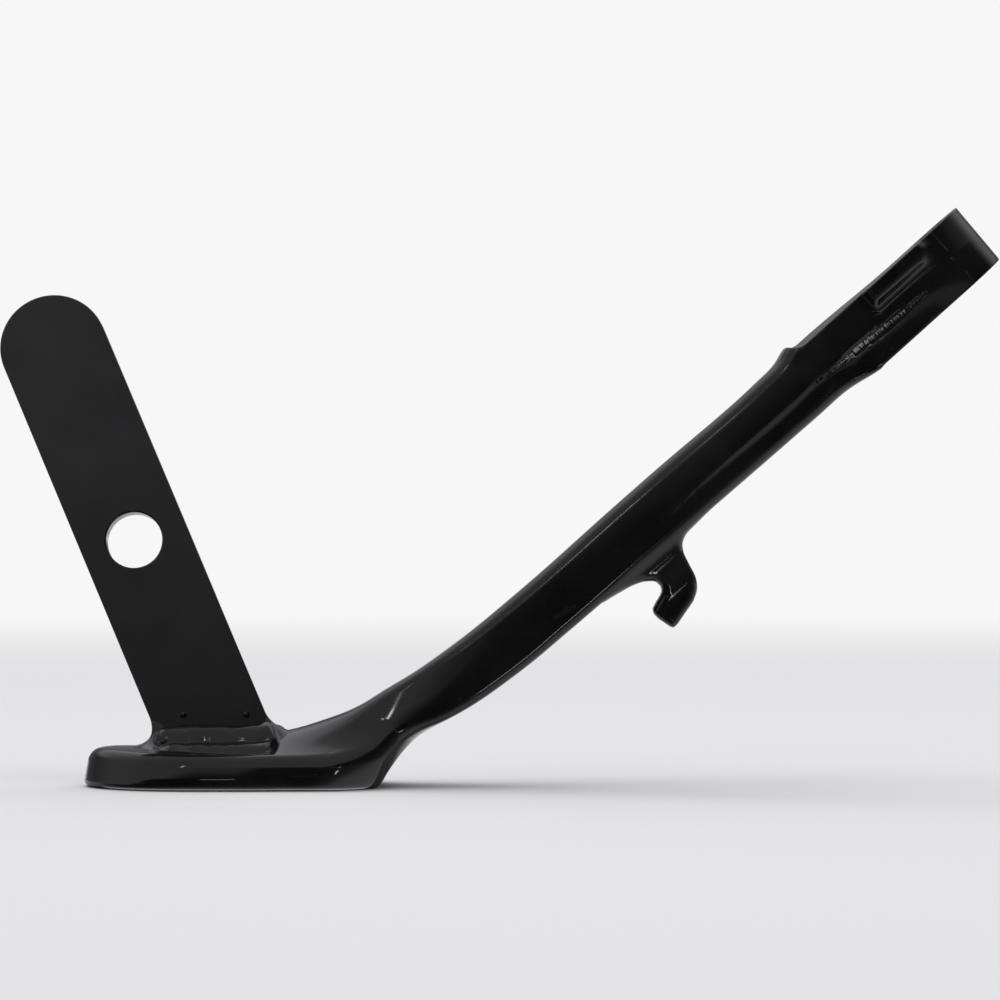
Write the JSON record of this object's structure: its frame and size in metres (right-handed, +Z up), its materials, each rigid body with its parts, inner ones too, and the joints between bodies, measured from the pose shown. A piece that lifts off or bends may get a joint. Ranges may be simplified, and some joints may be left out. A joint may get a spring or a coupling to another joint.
{
  "type": "motorcycle side stand leg",
  "caption": "Forged black motorcycle side stand leg with a pivot eye, spring hook, stop lug and flat foot, and a round-ended foot tab welded on top.",
  "frame": {"origin": "centre of the pivot bore, halfway between the two machined eye faces", "axes": "+X level, from the foot towards the pivot eye; +Z up with the sole level on the ground; +Y away from the side that carries the stop lug; the pivot bore's axis lies in the XZ plane, 42 degrees from +Z towards -X"},
  "size_m": [0.3072, 0.0481, 0.1761],
  "materials": {
    "forging_black": "gloss black over the forged skin",
    "plate_black": "gloss black over rolled flat bar",
    "weld_black": "gloss black over weld bead"
  },
  "bodies": {
    "root": {"leg_forging": "forging_black", "tab_plate": "plate_black", "weld_front_upper_pass": "weld_black", "weld_front_lower_pass": "weld_black", "weld_rear": "weld_black", "weld_end_outboard": "weld_black", "weld_end_inboard": "weld_black", "weld_pip_outboard": "weld_black", "weld_pip_inboard": "weld_black"}
  },
  "joints": []
}
